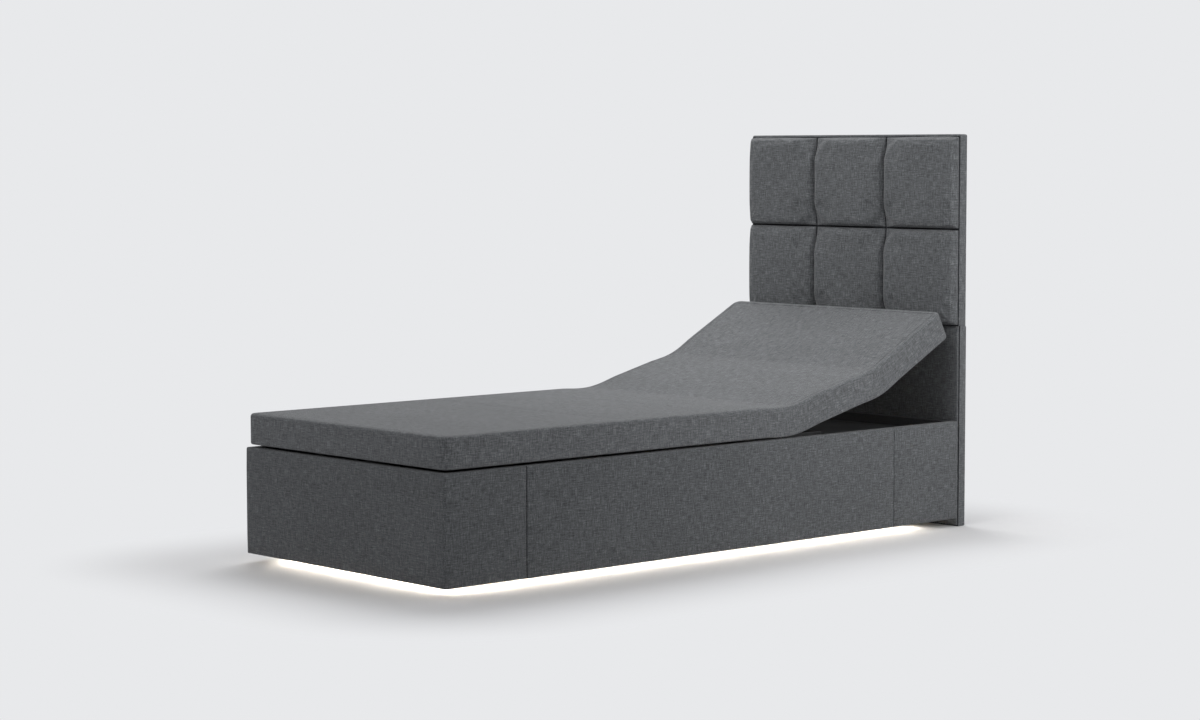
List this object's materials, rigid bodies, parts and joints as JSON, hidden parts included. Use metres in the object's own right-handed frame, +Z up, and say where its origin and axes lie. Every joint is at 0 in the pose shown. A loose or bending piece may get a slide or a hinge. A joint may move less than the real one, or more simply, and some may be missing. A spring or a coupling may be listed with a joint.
{
  "type": "adjustable bed base",
  "caption": "Upholstered single bed base with a hinged five-part deck that raises the back and the knees, padded tile headboard and light strips under the edge.",
  "frame": {"origin": "centre of the footprint, on the floor", "axes": "+Y from foot to head, +X to the side seen in the picture, +Z up"},
  "size_m": [0.9, 2.065, 1.209],
  "materials": {
    "surround_fabric": "charcoal heathered plain weave",
    "headboard_fabric": "charcoal heathered plain weave",
    "deck_fabric": "charcoal heathered plain weave",
    "dark_board": "black laminated board",
    "plywood": "raw birch plywood",
    "black_steel": "black powder coat",
    "zinc_steel": "zinc plated",
    "drive_plastic": "fine textured black moulding",
    "glide_plastic": "black moulding",
    "light_diffuser": "lit warm white diffuser"
  },
  "bodies": {
    "base": {"foot_panel": "surround_fabric", "foot_return_left": "surround_fabric", "foot_return_right": "surround_fabric", "side_panel_left": "surround_fabric", "side_panel_right": "surround_fabric", "head_return_left": "surround_fabric", "head_return_right": "surround_fabric", "head_panel": "dark_board", "bulkhead_foot": "plywood", "bulkhead_head": "plywood", "top_board_foot": "dark_board", "top_board_head": "dark_board", "glide_feet": "glide_plastic", "light_strips": "light_diffuser", "headboard_board": "headboard_fabric", "headboard_lower_pad": "headboard_fabric", "headboard_pad_lower_left": "headboard_fabric", "headboard_pad_lower_centre": "headboard_fabric", "headboard_pad_lower_right": "headboard_fabric", "headboard_pad_upper_left": "headboard_fabric", "headboard_pad_upper_centre": "headboard_fabric", "headboard_pad_upper_right": "headboard_fabric", "headboard_bolts": "zinc_steel", "seat_cover": "deck_fabric", "seat_board": "plywood", "seat_rail_left": "black_steel", "seat_rail_right": "black_steel", "seat_hinge_pins": "zinc_steel", "chassis_rail_left": "black_steel", "chassis_rail_right": "black_steel", "drive_housing": "drive_plastic"},
    "lumbar": {"lumbar_cover": "deck_fabric", "lumbar_board": "plywood", "lumbar_rail_left": "black_steel", "lumbar_rail_right": "black_steel", "lumbar_hinge_pins": "zinc_steel"},
    "back": {"back_cover": "deck_fabric", "back_board": "plywood", "back_rail_left": "black_steel", "back_rail_right": "black_steel"},
    "thigh": {"thigh_cover": "deck_fabric", "thigh_board": "plywood", "thigh_rail_left": "black_steel", "thigh_rail_right": "black_steel", "knee_pins": "zinc_steel"},
    "calf": {"calf_cover": "deck_fabric", "calf_board": "plywood", "calf_rail_left": "black_steel", "calf_rail_right": "black_steel"},
    "back_lift": {"back_lift_tube": "black_steel", "back_lift_arm_left": "black_steel", "back_lift_arm_right": "black_steel"},
    "leg_lift": {"leg_lift_tube": "black_steel", "leg_lift_arm_left": "black_steel", "leg_lift_arm_right": "black_steel"},
    "tilt_rods": {"tilt_rod_left": "black_steel", "tilt_rod_right": "black_steel"},
    "calf_links": {"calf_link_left": "black_steel", "calf_link_right": "black_steel"}
  },
  "joints": [
    {"name": "lumbar_hinge", "type": "hinge", "parent": "base", "child": "lumbar", "pos_m": [0, 0.2675, 0.381], "axis": [1, 0, 0], "range_deg": [-14, 18]},
    {"name": "back_hinge", "type": "hinge", "parent": "lumbar", "child": "back", "pos_m": [0, 0.63427, 0.47245], "axis": [1, 0, 0], "range_deg": [-14, 18]},
    {"name": "back_lift_turn", "type": "hinge", "parent": "base", "child": "back_lift", "pos_m": [0, 0.3275, 0.339], "axis": [1, 0, 0], "range_deg": [-16.91, 21.74]},
    {"name": "tilt_rod_pivot", "type": "hinge", "parent": "base", "child": "tilt_rods", "pos_m": [0, 0.2675, 0.372], "axis": [1, 0, 0], "range_deg": [-13.85, 17.8]},
    {"name": "thigh_hinge", "type": "hinge", "parent": "base", "child": "thigh", "pos_m": [0, -0.0225, 0.381], "axis": [-1, 0, 0], "range_deg": [0, 32]},
    {"name": "knee_hinge", "type": "hinge", "parent": "thigh", "child": "calf", "pos_m": [0, -0.3825, 0.356], "axis": [-1, 0, 0], "range_deg": [-36.85, 0]},
    {"name": "leg_lift_turn", "type": "hinge", "parent": "base", "child": "leg_lift", "pos_m": [0, -0.0825, 0.339], "axis": [-1, 0, 0], "range_deg": [0, 38.65]},
    {"name": "calf_link_pivot", "type": "hinge", "parent": "base", "child": "calf_links", "pos_m": [0, -0.2005, 0.3387], "axis": [-1, 0, 0], "range_deg": [0, 34.1]}
  ],
  "couplings": [
    {"joint": "back_hinge", "follows": "lumbar_hinge", "ratio": 1},
    {"joint": "back_lift_turn", "follows": "lumbar_hinge", "ratio": 1.2075},
    {"joint": "tilt_rod_pivot", "follows": "lumbar_hinge", "ratio": 0.987},
    {"joint": "knee_hinge", "follows": "thigh_hinge", "ratio": -1.15},
    {"joint": "leg_lift_turn", "follows": "thigh_hinge", "ratio": 1.2075},
    {"joint": "calf_link_pivot", "follows": "thigh_hinge", "ratio": 1.063}
  ]
}
